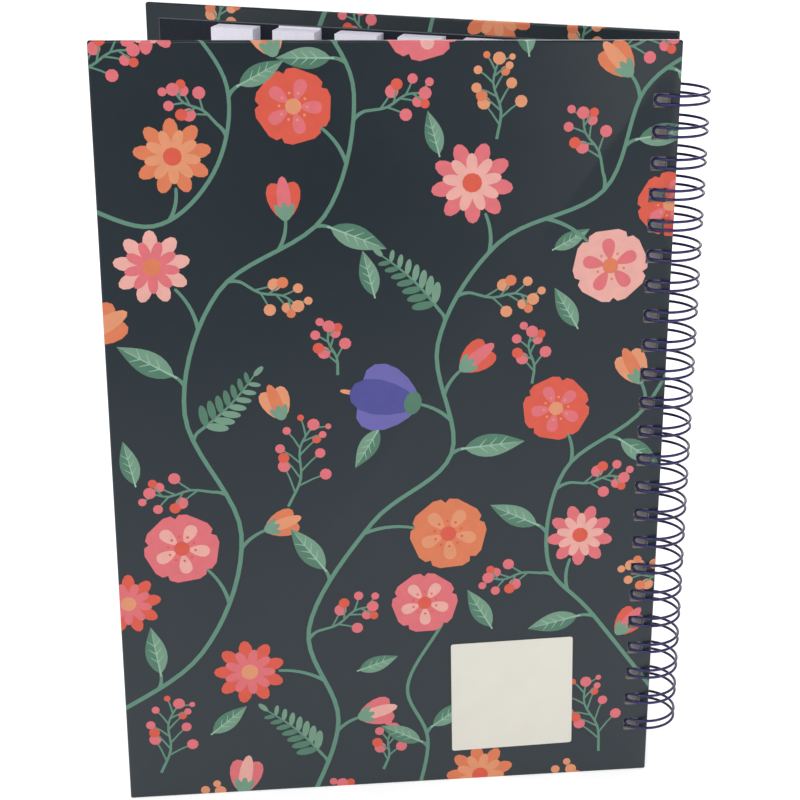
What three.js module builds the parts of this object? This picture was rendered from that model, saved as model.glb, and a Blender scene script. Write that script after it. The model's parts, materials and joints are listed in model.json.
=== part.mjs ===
// A hard-cover sticky note book with a twin-loop wire binding, standing a little open on its lower edges.
// Millimetres, +Z up. The covers and leaves turn about one upright line, the middle of the wire loops.
import * as THREE from "three";
import { mergeVertices } from "three/addons/utils/BufferGeometryUtils.js";

// Covers: printed paper wrapped round board, with a plain lining sheet pasted inside
const COVER_WIDTH = 151.5;
const COVER_HEIGHT = 217.5;
const COVER_THICKNESS = 1.9;
const COVER_EDGE_ROUND = 0.4;
const LINING_THICKNESS = 0.2;
const LINING_INSET = 4;
const GLUE_LINE = 0.05;
const SPINE_SETBACK = 0.25; // from the binding's middle line to a cover's spine edge

// Wire binding: loops of doubled wire, three to the inch, joined along a seam inside the back cover
const LOOP_RADIUS = 9.3;
const WIRE_DIAMETER = 0.8;
const LOOP_PITCH = 8.467;
const LOOP_WIRE_SPACING = 2.35;
const LOOP_PROUD = 1; // how far the loop's middle line stands outside a cover's outer face
const COMB_END_MARGIN = 10; // least distance from the head or foot of the leaves to the end loops
const SEAM_BEND_RADIUS = 0.8;
const SEAM_CLEARANCE = 0.3;
const TIP_GAP = 0.6;
const ARC_STEPS = 12;
const TIP_STEPS = 3;
const WIRE_SIDES = 6;

// Punched holes
const HOLE_HEIGHT = 4;
const HOLE_CLEARANCE = 0.3;

// Leaves: ruled sheets, in bundles that turn one after another
const LEAF_WIDTH = 148;
const LEAF_INSET = 3.75; // how far the covers stand past the leaves at head and foot
const LEAF_SPINE_OVERHANG = 0.6; // past the covers' spine edges
const BUNDLE_THICKNESS = 1.5;
const BUNDLE_GAP = 0.2;

// Sticky pads on the front cover's lining: a row of page flags, then two pads side by side, then a wide one
const FLAG_COUNT = 5;
const FLAG_WIDTH = 12.2;
const FLAG_HEIGHT = 45;
const FLAG_GAP = 5.6;
const FLAG_THICKNESS = 6.5;
const NOTE_THICKNESS = 5;
const SQUARE_NOTE_SIZE = 76;
const PAD_GAP = 5;
const PAD_TOP_INSET = 4.7;
const PAD_BOTTOM_INSET = 7;
const PAD_SPINE_MARGIN = 28.5;
const PAD_FORE_MARGIN = 4.4;
const PAD_FANNING = 0.8; // how much thicker a pad is at its free lower end than along its gummed top
const PAD_GUM_HEIGHT = 12;

// Blank sticker on the back cover
const STICKER_WIDTH = 35.5;
const STICKER_HEIGHT = 35;
const STICKER_THICKNESS = 0.12;
const STICKER_FORE_MARGIN = 92.8;
const STICKER_FOOT_MARGIN = 10.3;
const STICKER_TILT = 1.2; // degrees

// Pose, in degrees from the back cover
const OPENING = 20;
const BUNDLE_OPENINGS = [1, 2.4, 4.2];

const rad = THREE.MathUtils.degToRad;

// What follows from these sizes, with every leaf and cover drawn closed: leaves run towards -X, the back cover
// lies on the -Y side, and the loops' middle line is the Z axis
const outerFace = LOOP_RADIUS - LOOP_PROUD;
const innerFace = outerFace - COVER_THICKNESS;
const liningFace = innerFace - GLUE_LINE - LINING_THICKNESS;
const coverFore = -SPINE_SETBACK - COVER_WIDTH;
const wireRadius = WIRE_DIAMETER / 2;
const seamDepth = liningFace - SEAM_CLEARANCE - wireRadius;
const firstLeafFace = -(seamDepth - wireRadius - SEAM_CLEARANCE);
const leafHeight = COVER_HEIGHT - 2 * LEAF_INSET;
const loopCount = Math.floor((leafHeight - 2 * COMB_END_MARGIN) / LOOP_PITCH) + 1;
const firstLoop = (COVER_HEIGHT - (loopCount - 1) * LOOP_PITCH) / 2;
const loopHeights = Array.from({ length: loopCount }, (_, i) => firstLoop + i * LOOP_PITCH);

const coverPrint = { color: 0x333a41, roughness: 0.55, metalness: 0 };
const liningPaper = { color: 0x222838, roughness: 0.8, metalness: 0 };
const wireEnamel = { color: 0x2c2545, roughness: 0.35, metalness: 0.6 };
const leafPaper = { color: 0xf3f1ea, roughness: 0.9, metalness: 0 };
const notePaper = { color: 0xe8e6f0, roughness: 0.9, metalness: 0 };
const stickerPaper = { color: 0xdfded8, roughness: 0.6, metalness: 0 };

function mesh(name, geometry, finish) {
  const made = new THREE.Mesh(geometry, new THREE.MeshStandardMaterial(finish));
  made.name = name;
  return made;
}

// The stretch of X in which the round wire passes through a layer between two faces. The wire is drawn with
// flat steps, so it strays from its true circle by half the depth of one step.
function wirePassage(faceA, faceB) {
  const stray = (LOOP_RADIUS * (1 - Math.cos(Math.PI / ARC_STEPS))) / 2;
  const outer = LOOP_RADIUS + wireRadius + stray;
  const inner = LOOP_RADIUS - wireRadius - stray;
  const near = faceA * faceB < 0 ? 0 : Math.min(Math.abs(faceA), Math.abs(faceB));
  const far = Math.max(Math.abs(faceA), Math.abs(faceB));
  return {
    fore: -Math.sqrt(outer ** 2 - near ** 2) - HOLE_CLEARANCE,
    spine: -Math.sqrt(inner ** 2 - far ** 2) + 2 * HOLE_CLEARANCE,
  };
}

function rectangle(Path, left, bottom, right, top) {
  const path = new Path();
  path.moveTo(left, bottom);
  path.lineTo(right, bottom);
  path.lineTo(right, top);
  path.lineTo(left, top);
  path.closePath();
  return path;
}

// A flat sheet from face low to face high along Y, with one hole for each loop
function punchedSheet(outline, low, high, passage, round = 0) {
  const shape = rectangle(THREE.Shape, outline.left, outline.bottom, outline.right, outline.top);
  for (const z of loopHeights)
    shape.holes.push(
      rectangle(THREE.Path, passage.fore, z - HOLE_HEIGHT / 2, passage.spine, z + HOLE_HEIGHT / 2),
    );
  const sheet = new THREE.ExtrudeGeometry(shape, {
    depth: high - low - 2 * round,
    bevelEnabled: round > 0,
    bevelThickness: round,
    bevelSize: round,
    bevelOffset: -round,
    bevelSegments: 1,
  });
  // The shape's plane turns upright: its Y becomes Z, and its depth runs towards -Y
  sheet.rotateX(Math.PI / 2);
  sheet.translate(0, high - round, 0);
  return sheet;
}

// side is -1 for the back cover and 1 for the front cover
function cover(side) {
  const faces = [side * innerFace, side * outerFace].sort((a, b) => a - b);
  const outline = { left: coverFore, right: -SPINE_SETBACK, bottom: 0, top: COVER_HEIGHT };
  return punchedSheet(outline, ...faces, wirePassage(liningFace, outerFace), COVER_EDGE_ROUND);
}

function lining(side) {
  const faces = [side * liningFace, side * (innerFace - GLUE_LINE)].sort((a, b) => a - b);
  const outline = {
    left: coverFore + LINING_INSET,
    right: -SPINE_SETBACK,
    bottom: LINING_INSET,
    top: COVER_HEIGHT - LINING_INSET,
  };
  return punchedSheet(outline, ...faces, wirePassage(liningFace, outerFace));
}

function leafBundle(order) {
  const low = firstLeafFace + order * (BUNDLE_THICKNESS + BUNDLE_GAP);
  const high = low + BUNDLE_THICKNESS;
  const right = LEAF_SPINE_OVERHANG - SPINE_SETBACK;
  const outline = { left: right - LEAF_WIDTH, right, bottom: LEAF_INSET, top: LEAF_INSET + leafHeight };
  return punchedSheet(outline, low, high, wirePassage(low, high));
}

// The wire's middle line on the cylinder that the loops share: along is the distance round it from the seam
function wireRoute() {
  const half = LOOP_WIRE_SPACING / 2;
  const bend = SEAM_BEND_RADIUS;
  const tipCentre = 2 * Math.PI * LOOP_RADIUS - WIRE_DIAMETER - TIP_GAP - half;
  const route = [];
  loopHeights.forEach((middle, i) => {
    const loop = [];
    if (i > 0) loop.push({ along: 0, rise: -half - bend });
    loop.push({ along: bend * (1 - Math.SQRT1_2), rise: -half - bend * (1 - Math.SQRT1_2) });
    for (let s = 0; s <= ARC_STEPS; s++)
      loop.push({ along: bend + ((tipCentre - bend) * s) / ARC_STEPS, rise: -half });
    for (let s = 1; s < TIP_STEPS; s++) {
      const turn = (Math.PI * s) / TIP_STEPS;
      loop.push({ along: tipCentre + half * Math.sin(turn), rise: -half * Math.cos(turn) });
    }
    for (let s = ARC_STEPS; s >= 0; s--)
      loop.push({ along: bend + ((tipCentre - bend) * s) / ARC_STEPS, rise: half });
    loop.push({ along: bend * (1 - Math.SQRT1_2), rise: half + bend * (1 - Math.SQRT1_2) });
    if (i < loopCount - 1) loop.push({ along: 0, rise: half + bend });
    route.push(...loop.map(({ along, rise }) => ({ along, z: middle + rise })));
  });
  return route;
}

// Corners of the flat steps lie a little outside the true circle, so that the steps keep to it on average
function onLoop({ along, z }) {
  const radius = LOOP_RADIUS * (1 + (1 - Math.cos(Math.PI / ARC_STEPS)) / 2);
  const angle = Math.PI + Math.asin(seamDepth / LOOP_RADIUS) - along / LOOP_RADIUS;
  return new THREE.Vector3(radius * Math.cos(angle), radius * Math.sin(angle), z);
}

// One unbroken tube. Its rings are turned by the loops' own radial direction, so it never twists.
function wireTube(points) {
  const positions = [];
  const index = [];
  points.forEach((point, i) => {
    const before = points[Math.max(i - 1, 0)];
    const after = points[Math.min(i + 1, points.length - 1)];
    const tangent = new THREE.Vector3().subVectors(after, before).normalize();
    const radial = new THREE.Vector3(point.x, point.y, 0).normalize();
    const across = new THREE.Vector3().crossVectors(tangent, radial).normalize();
    radial.crossVectors(across, tangent);
    for (let k = 0; k < WIRE_SIDES; k++) {
      const turn = (2 * Math.PI * k) / WIRE_SIDES;
      const corner = point
        .clone()
        .addScaledVector(radial, wireRadius * Math.cos(turn))
        .addScaledVector(across, wireRadius * Math.sin(turn));
      positions.push(...corner.toArray());
    }
  });
  for (let i = 0; i < points.length - 1; i++)
    for (let k = 0; k < WIRE_SIDES; k++) {
      const a = i * WIRE_SIDES + k;
      const b = i * WIRE_SIDES + ((k + 1) % WIRE_SIDES);
      index.push(a, b, a + WIRE_SIDES, b, b + WIRE_SIDES, a + WIRE_SIDES);
    }
  const last = (points.length - 1) * WIRE_SIDES;
  for (let k = 1; k < WIRE_SIDES - 1; k++) {
    index.push(0, k + 1, k);
    index.push(last, last + k, last + k + 1);
  }
  const tube = new THREE.BufferGeometry();
  tube.setAttribute("position", new THREE.Float32BufferAttribute(positions, 3));
  tube.setIndex(index);
  return mergeVertices(tube);
}

// The least open space between stretches of the wire that aren't neighbours along it
function leastWireGap(points) {
  const neighbourReach = 3 * WIRE_DIAMETER;
  const run = [0];
  for (let i = 1; i < points.length; i++) run.push(run[i - 1] + points[i].distanceTo(points[i - 1]));
  let least = Infinity;
  for (let i = 0; i < points.length; i++)
    for (let j = i + 1; j < points.length; j++)
      if (run[j] - run[i] > neighbourReach) least = Math.min(least, points[i].distanceTo(points[j]));
  return least - WIRE_DIAMETER;
}

// A pad of notes, gummed along its top, whose lower ends spread a little. It lies on the front lining.
function notePad(foreEdge, top, width, height, thickness) {
  const seat = liningFace - GLUE_LINE;
  const profile = new THREE.Shape();
  profile.moveTo(seat, top);
  profile.lineTo(seat - thickness, top);
  profile.lineTo(seat - thickness, top - PAD_GUM_HEIGHT);
  profile.lineTo(seat - thickness - PAD_FANNING, top - height + PAD_FANNING);
  profile.lineTo(seat, top - height);
  profile.closePath();
  const pad = new THREE.ExtrudeGeometry(profile, { depth: width, bevelEnabled: false });
  // The profile's plane turns to face +X: its X becomes Y, and its Y becomes Z
  return pad.rotateY(Math.PI / 2).rotateX(Math.PI / 2).translate(foreEdge, 0, 0);
}

function stickyPads() {
  const fieldFore = coverFore + PAD_FORE_MARGIN;
  const fieldWidth = COVER_WIDTH - PAD_FORE_MARGIN - PAD_SPINE_MARGIN;
  const flagsTop = COVER_HEIGHT - PAD_TOP_INSET;
  const rowWidth = FLAG_COUNT * FLAG_WIDTH + (FLAG_COUNT - 1) * FLAG_GAP;
  const rowFore = fieldFore + (fieldWidth - rowWidth) / 2;
  const pads = [];
  for (let i = 0; i < FLAG_COUNT; i++) {
    const fore = rowFore + i * (FLAG_WIDTH + FLAG_GAP);
    const flag = notePad(fore, flagsTop, FLAG_WIDTH, FLAG_HEIGHT, FLAG_THICKNESS);
    pads.push(mesh("flag_pad_" + (i + 1), flag, notePaper));
  }
  const pairTop = flagsTop - FLAG_HEIGHT - PAD_GAP;
  const narrowWidth = fieldWidth - SQUARE_NOTE_SIZE - PAD_GAP;
  const squareFore = fieldFore + narrowWidth + PAD_GAP;
  const wideTop = pairTop - SQUARE_NOTE_SIZE - PAD_GAP;
  pads.push(
    mesh("narrow_note_pad", notePad(fieldFore, pairTop, narrowWidth, SQUARE_NOTE_SIZE, NOTE_THICKNESS), notePaper),
    mesh("square_note_pad", notePad(squareFore, pairTop, SQUARE_NOTE_SIZE, SQUARE_NOTE_SIZE, NOTE_THICKNESS), notePaper),
    mesh("wide_note_pad", notePad(fieldFore, wideTop, fieldWidth, wideTop - PAD_BOTTOM_INSET, NOTE_THICKNESS), notePaper),
  );
  return pads;
}

function blankSticker() {
  const sticker = new THREE.BoxGeometry(STICKER_WIDTH, STICKER_THICKNESS, STICKER_HEIGHT);
  sticker.rotateY(rad(-STICKER_TILT));
  sticker.translate(
    coverFore + STICKER_FORE_MARGIN + STICKER_WIDTH / 2,
    -outerFace - GLUE_LINE - STICKER_THICKNESS / 2,
    STICKER_FOOT_MARGIN + STICKER_HEIGHT / 2,
  );
  return sticker;
}

// A closed cover or bundle, turned open about the binding's middle line by so many degrees from the back cover
function leafGroup(opened, ...pieces) {
  const group = new THREE.Group();
  group.rotation.z = rad(OPENING / 2 - opened);
  group.add(...pieces);
  return group;
}

const wirePoints = wireRoute().map(onLoop);
console.log("least gap of the wire to itself: " + leastWireGap(wirePoints).toFixed(2) + " mm");

const book = new THREE.Group();
book.add(
  leafGroup(
    0,
    mesh("back_cover", cover(-1), coverPrint),
    mesh("back_lining", lining(-1), liningPaper),
    mesh("wire_binding", wireTube(wirePoints), wireEnamel),
    mesh("blank_sticker", blankSticker(), stickerPaper),
  ),
);
BUNDLE_OPENINGS.forEach((opened, order) => {
  book.add(leafGroup(opened, mesh("leaf_bundle_" + (order + 1), leafBundle(order), leafPaper)));
});
book.add(
  leafGroup(
    OPENING,
    mesh("front_cover", cover(1), coverPrint),
    mesh("front_lining", lining(1), liningPaper),
    ...stickyPads(),
  ),
);

// The origin is the middle of the floor space that the open book takes
const reach = new THREE.Box3().setFromObject(book, true);
const middle = reach.getCenter(new THREE.Vector3());
book.position.set(-middle.x, -middle.y, -reach.min.z);

export default book;
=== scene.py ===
"""Sticky note book: printed hard covers, a twin-loop wire spine, ruled leaves and sticky pads, dressed round
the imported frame. Sizes are in metres unless a name or comment says millimetres."""

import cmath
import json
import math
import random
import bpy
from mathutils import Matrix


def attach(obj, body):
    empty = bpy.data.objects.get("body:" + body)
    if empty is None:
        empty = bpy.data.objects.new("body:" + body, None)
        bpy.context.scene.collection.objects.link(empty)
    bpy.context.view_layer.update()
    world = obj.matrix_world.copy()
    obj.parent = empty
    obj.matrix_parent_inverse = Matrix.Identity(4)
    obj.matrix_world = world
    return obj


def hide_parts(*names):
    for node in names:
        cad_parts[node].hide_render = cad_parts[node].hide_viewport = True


bl_info = {
    "name": "Sticky Note Book",
    "version": (1, 0, 0),
    "blender": (4, 5, 0),
    "location": "3D View > Sidebar > Note Book",
    "description": "Builds a wire-bound sticky note book that stands a little open",
    "category": "Add Mesh",
}

import bpy
from bpy.props import FloatProperty, FloatVectorProperty, IntProperty, PointerProperty
from mathutils import Matrix, Vector
from mathutils.geometry import delaunay_2d_cdt

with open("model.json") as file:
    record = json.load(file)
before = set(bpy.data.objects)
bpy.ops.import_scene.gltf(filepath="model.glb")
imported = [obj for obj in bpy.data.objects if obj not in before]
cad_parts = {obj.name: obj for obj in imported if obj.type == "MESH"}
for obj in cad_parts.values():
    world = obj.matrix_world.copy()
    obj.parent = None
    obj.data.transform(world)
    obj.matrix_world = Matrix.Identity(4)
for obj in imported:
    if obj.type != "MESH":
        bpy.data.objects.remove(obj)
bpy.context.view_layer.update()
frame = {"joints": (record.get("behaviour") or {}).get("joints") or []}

MM = 0.001
HINGE = Vector(frame["joints"][0]["pos_m"])

# Where the pieces lie round the binding's middle line when the book is drawn closed, in millimetres. The back
# cover is on the -Y side and the leaves run towards -X
COVER_HEIGHT = 217.5
SPINE_SETBACK = 0.25
OUTER_FACE = 8.3
INNER_FACE = 6.4
LINING_FACE = 6.15
LINING_BACK = 6.35
PAD_SEAT = 6.1
LABEL_SEAT = 8.35

# The stretch of the covers and linings that their punched holes take, and how far a punch reaches each way
HOLE_FORE = -7.5
HOLE_SPINE = -3
PUNCH_REACH = 20

# The steps that a quarter turn of the wrap is drawn in
FOLD_STEPS = 4

# The wire: its seam inside the back cover, and the steps that its bends are drawn in
SEAM_DEPTH = 5.45
SEAM_BEND_RADIUS = 0.8
TIP_TO_SEAM = 1.4
LOOP_STEPS = 40
TIP_STEPS = 9
BEND_STEPS = 4

# The bundles of leaves, whose holes are closed by an arc round the binding's middle line
FIRST_LEAF_FACE = -4.75
BUNDLE_THICKNESS = 1.5
BUNDLE_PITCH = 1.7
LEAF_OVERHANG = 0.6
LEAF_HOLE_FORE = -10.1
LEAF_HOLE_ARC = 8.8
LEAF_HOLE_EASE = 0.5
LEAF_DRIFT = 0.12
SHEET_SHARE = 0.8

# The pads on the front lining
PAD_FORE_MARGIN = 4.4
PAD_SPINE_MARGIN = 28.5
PAD_TOP_MARGIN = 4.7
PAD_FOOT_MARGIN = 7
PAD_SPACING = 5
PAD_GUM_HEIGHT = 12
PAD_FANNING = 0.8
SLIPPED_RISE = 0.45
FLAG_COUNT = 5
FLAG_SHEETS = 22
NOTE_SHEETS = 18
SQUARE_NOTE = 76

# The label on the back cover
LABEL_HEIGHT = 35
LABEL_THICKNESS = 0.12
LABEL_CORNER = 0.7
LABEL_FROM_FORE = 92.8
LABEL_FROM_FOOT = 10.3
LABEL_TILT = -1.2

# Degrees that each group is turned from the closed drawing, with the side of Y that each cover is on
BACK_TURN = 10
FRONT_TURN = -10
COVERS = ((-1, "back", BACK_TURN), (1, "front", FRONT_TURN))
BUNDLE_TURNS = (9, 7.6, 5.8)

# The photograph's own view, worked out from the cover's corners and the loops' pitch. Its place is in
# millimetres and its turns are in degrees
CAMERA_PLACE = (40.07, -489.65, 294.69)
CAMERA_PITCH = 20.3427
CAMERA_ROLL = 1.33843
CAMERA_TURN = 1.327
CAMERA_LENS = 82.858
CAMERA_SHIFT = (-0.14416, 0.00202)

# Each lamp's name, place, the height that it is aimed at, width and power
LAMPS = (
    ("key", (-0.1, -1.1, 1.1), 0.1, 0.6, 6.4),
    ("card", (-0.85, -1.15, 0.12), 0.1, 0.6, 2.2),
    ("fill", (-1.1, -0.5, 1.1), 0.1, 0.9, 4.0),
    ("rim", (0.2, 1.25, 0.9), 0.12, 0.8, 8.0),
    ("side", (0.9, -0.9, 0.3), 0.1, 0.6, 3.3),
)
PAPER_GLOW = 0.42
ROOM_LIGHT = 0.55
ROOM_IN_REFLECTIONS = 0.04


def linear(code):
    """An sRGB hex colour as linear numbers."""
    parts = [int(code[i : i + 2], 16) / 255 for i in (1, 3, 5)]
    return [c / 12.92 if c <= 0.04045 else ((c + 0.055) / 1.055) ** 2.4 for c in parts]


def colour(name, code, about):
    return FloatVectorProperty(
        name=name, description=about, subtype="COLOR", size=3, min=0, max=1, default=linear(code)
    )


def length(name, millimetres, about):
    return FloatProperty(
        name=name, description=about, default=millimetres * MM, min=0, unit="LENGTH", precision=5
    )


class NoteBookSizes(bpy.types.PropertyGroup):
    """Sizes of the covers, wire, leaves and pads"""

    cover_width: length("Cover width", 151.5, "From fore edge to spine edge")
    cover_height: length("Cover height", COVER_HEIGHT, "From foot to head")
    cover_thickness: length("Cover thickness", 1.9, "Board with its printed wrap")
    cover_round: length("Edge rounding", 0.55, "Radius of the wrapped edges")
    turn_in: length("Turn-in", 4, "Printed strip that shows round the lining")
    ink_lift: length("Ink lift", 0.02, "How far the print stands above the cover's face")
    hole_height: length("Hole height", 3.7, "Height of a punched hole")
    hole_corner: length("Hole corner", 0.6, "Corner radius of a punched hole")
    loop_radius: length("Loop radius", 9.3, "Middle line of the wire loops")
    loop_pitch: length("Loop pitch", 8.467, "Three loops to the inch")
    loop_count: IntProperty(name="Loops", description="Loops in the comb", default=23, min=2)
    wire_diameter: length("Wire diameter", 0.8, "Enamelled wire")
    twin_spacing: length("Twin spacing", 2.35, "Between the two wires of a loop")
    leaf_width: length("Leaf width", 148, "From fore edge to spine edge")
    leaf_height: length("Leaf height", 210, "From foot to head")
    leaves_in_bundle: IntProperty(name="Leaves", description="Leaves in a bundle", default=13, min=2)
    bundle_thickness: length("Bundle thickness", BUNDLE_THICKNESS, "Leaves that turn together")
    rule_pitch: length("Rule pitch", 7, "Between two ruled lines")
    flag_width: length("Flag width", 12.2, "Width of a page flag")
    flag_height: length("Flag height", 45, "Height of a page flag")
    flag_gap: length("Flag gap", 5.6, "Between two page flags")
    flag_thickness: length("Flag pad thickness", 6.5, "At the gummed top")
    note_thickness: length("Note pad thickness", 5, "At the gummed top")
    label_size: length("Label width", 35.5, "Width of the blank label")


class NoteBookColours(bpy.types.PropertyGroup):
    """Colours of the papers, inks and wire"""

    ground: colour("Ground", "#16242c", "Slate ground of the cover print")
    stem: colour("Stem green", "#56826f", "Stems")
    leaf: colour("Leaf green", "#698f79", "Light half of a leaf")
    leaf_dark: colour("Deep green", "#48735f", "Dark half of a leaf")
    vein: colour("Vein green", "#8aae98", "Leaf veins")
    coral: colour("Coral", "#ce503c", "Petals and dots")
    rose: colour("Rose", "#d1666e", "Petals and dots")
    blush: colour("Blush", "#dba097", "Petals")
    orange: colour("Orange", "#cf724b", "Petals")
    apricot: colour("Apricot", "#d48b65", "Petals and dots")
    violet: colour("Violet", "#44448d", "Petals")
    lilac: colour("Lilac", "#615ca2", "Petals")
    lining: colour("Lining", "#171d29", "Plain paper inside the covers")
    endpaper_edge: colour("Endpaper edge", "#565c61", "Where the plain paper is cut")
    board: colour("Board", "#a8a39d", "Cut grey board")
    wire: colour("Wire", "#231b55", "Enamel")
    leaf_paper: colour("Leaf paper", "#f3f1ea", "Writing paper")
    rule: colour("Rule ink", "#9aa7bd", "Ruled lines")
    notes: colour("Note paper", "#e4e2ef", "Flags and notes")
    label: colour("Label", "#d8d5cb", "Blank label")


# Scene helpers


def settings(context):
    return context.scene.note_book_sizes, context.scene.note_book_colours


def deselect():
    bpy.ops.object.select_all(action="DESELECT")


def activate(obj, *others):
    deselect()
    for each in (obj, *others):
        each.select_set(True)
    bpy.context.view_layer.objects.active = obj


def block(name, low, high):
    """A cuboid between two corners in millimetres."""
    deselect()
    low, high = Vector(low) * MM, Vector(high) * MM
    bpy.ops.mesh.primitive_cube_add(size=1, location=(low + high) / 2)
    made = bpy.context.object
    made.name = made.data.name = name
    made.scale = high - low
    bpy.ops.object.transform_apply(location=True, rotation=False, scale=True)
    return made


def modify(obj, kind, **inputs):
    """Adds a modifier and applies it."""
    activate(obj)
    made = obj.modifiers.new(kind.title(), kind)
    for key, value in inputs.items():
        setattr(made, key, value)
    bpy.ops.object.modifier_apply(modifier=made.name)


def copy_of(obj, name):
    made = obj.copy()
    made.data = obj.data.copy()
    made.name = made.data.name = name
    bpy.context.scene.collection.objects.link(made)
    return made


def joined(name, pieces):
    activate(*pieces)
    if len(pieces) > 1:
        bpy.ops.object.join()
    made = bpy.context.object
    made.name = made.data.name = name
    return made


def remove(*objects):
    for each in objects:
        bpy.data.objects.remove(each)


def edit(obj, mode="FACE"):
    activate(obj)
    bpy.ops.object.mode_set(mode="EDIT")
    bpy.ops.mesh.select_mode(type=mode)
    bpy.ops.mesh.select_all(action="DESELECT")
    bpy.ops.object.mode_set(mode="OBJECT")


def choose_edges(obj, axis, least=1):
    """Selects the edges that run further than so many millimetres along an axis."""
    edit(obj, "EDGE")
    for each in obj.data.edges:
        a, b = (obj.data.vertices[i].co[axis] for i in each.vertices)
        each.select = abs(a - b) > least * MM


def chosen(operator, **inputs):
    """Runs an edit-mode operator on what is selected in the active mesh."""
    bpy.ops.object.mode_set(mode="EDIT")
    operator(**inputs)
    bpy.ops.object.mode_set(mode="OBJECT")


def place(obj, degrees, body, finishes, slot, *nodes):
    """Turns a piece from the closed drawing to where it stands, gives it its body and finish, and hides the
    imported parts that it stands for.
    """
    obj.matrix_world = Matrix.Translation(HINGE) @ Matrix.Rotation(math.radians(degrees), 4, "Z")
    activate(obj)
    bpy.ops.object.transform_apply(location=True, rotation=True, scale=True)
    while len(obj.data.materials) < len(finishes):
        obj.data.materials.append(None)
    for i, each in enumerate(finishes):
        obj.data.materials[i] = each
    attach(obj, body)
    if nodes:
        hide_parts(*nodes)
    return obj


def smooth_shade(obj, degrees=35):
    activate(obj)
    bpy.ops.object.shade_smooth_by_angle(angle=math.radians(degrees))


# Materials


def node(tree, kind, inputs=None, **options):
    """Adds a shader node. inputs gives each socket a value, or the output that feeds it."""
    made = tree.nodes.new("ShaderNode" + kind)
    for key, value in options.items():
        setattr(made, key, value)
    for key, value in (inputs or {}).items():
        if isinstance(value, bpy.types.NodeSocket):
            tree.links.new(value, made.inputs[key])
        else:
            made.inputs[key].default_value = value
    return made


def finish(name, shade):
    """A material whose Principled shader is set up by shade(tree, shader)."""
    made = bpy.data.materials.get(name)
    if made:
        return made
    made = bpy.data.materials.new(name)
    made.use_nodes = True
    tree = made.node_tree
    shade(tree, tree.nodes["Principled BSDF"])
    return made


def maths(tree, operation, *values):
    return node(tree, "Math", dict(enumerate(values)), operation=operation).outputs[0]


def ranged(tree, value, low, high, start=0.0, end=1.0):
    """A value from start to end, spread over another range."""
    limits = {"From Min": start, "From Max": end, "To Min": low, "To Max": high}
    return node(tree, "MapRange", {"Value": value, **limits}).outputs["Result"]


def place_parts(tree):
    """The X, Y and Z of a place on the object."""
    at = node(tree, "TexCoord").outputs["Object"]
    return node(tree, "SeparateXYZ", {"Vector": at}).outputs


def grains(tree, millimetres, detail=2.0, stretch=(1, 1, 1)):
    """Noise whose grains are about so many millimetres across."""
    at = node(tree, "TexCoord").outputs["Object"]
    scaled = node(tree, "Mapping", {"Vector": at, "Scale": stretch})
    inputs = {"Vector": scaled.outputs[0], "Scale": 0.5 / (millimetres * MM), "Detail": detail}
    return node(tree, "TexNoise", inputs).outputs["Fac"]


def spread(tree, noise, low, high):
    """The middle of a noise's range, where nearly all of it lies, spread over another range."""
    return ranged(tree, noise, low, high, 0.3, 0.7)


def tinted(tree, rgb, noise, low, high):
    inputs = {"Color": (*rgb, 1), "Value": spread(tree, noise, low, high)}
    return node(tree, "HueSaturation", inputs).outputs["Color"]


def bumps(tree, shader, height, millimetres, strength=1.0, below=None):
    made = node(tree, "Bump", {"Height": height, "Distance": millimetres * MM, "Strength": strength})
    if below is not None:
        tree.links.new(below, made.inputs["Normal"])
    tree.links.new(made.outputs["Normal"], shader.inputs["Normal"])
    return made.outputs["Normal"]


def set_inputs(tree, shader, **values):
    for key, value in values.items():
        socket = shader.inputs[key.replace("_", " ")]
        if isinstance(value, bpy.types.NodeSocket):
            tree.links.new(value, socket)
        else:
            socket.default_value = value


def film_print(name, rgb):
    """Offset print on paper under a matt polypropylene film, pasted over board: flat ink with a faint mottle,
    a soft wide sheen from the film, and the board's shallow waves."""

    def shade(tree, shader):
        mottle = grains(tree, 1.4, 4)
        handling = grains(tree, 30, 3)
        set_inputs(
            tree,
            shader,
            Base_Color=tinted(tree, rgb, mottle, 0.96, 1.04),
            Roughness=spread(tree, handling, 0.34, 0.44),
            IOR=1.49,
            Specular_IOR_Level=0.5,
        )
        waves = bumps(tree, shader, grains(tree, 9, 1), 0.05, 0.5)
        bumps(tree, shader, grains(tree, 0.5, 2), 0.006, 0.6, waves)

    return finish(name, shade)


def plain_paper(name, rgb, fibre, contrast, rough=0.86, sheen=0.3, tooth=0.5, stretch=(1, 1, 0.5)):
    """Uncoated paper: dull, with fine fibres that show as a fleck and take the light unevenly."""

    def shade(tree, shader):
        flecked = tinted(tree, rgb, grains(tree, fibre, 5, stretch), 1 - contrast, 1 + contrast)
        set_inputs(tree, shader, Base_Color=flecked, Roughness=rough, IOR=1.5, Specular_IOR_Level=sheen)
        bumps(tree, shader, grains(tree, fibre, 4), 0.02, tooth)

    return finish(name, shade)


def flatness(tree):
    """1 where the surface faces along the pages' thickness, 0 on cut edges and on the foot and head."""
    facing = node(tree, "TexCoord").outputs["Normal"]
    across = node(tree, "SeparateXYZ", {"Vector": facing}).outputs["Y"]
    return maths(tree, "GREATER_THAN", maths(tree, "ABSOLUTE", across), 0.7)


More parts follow.
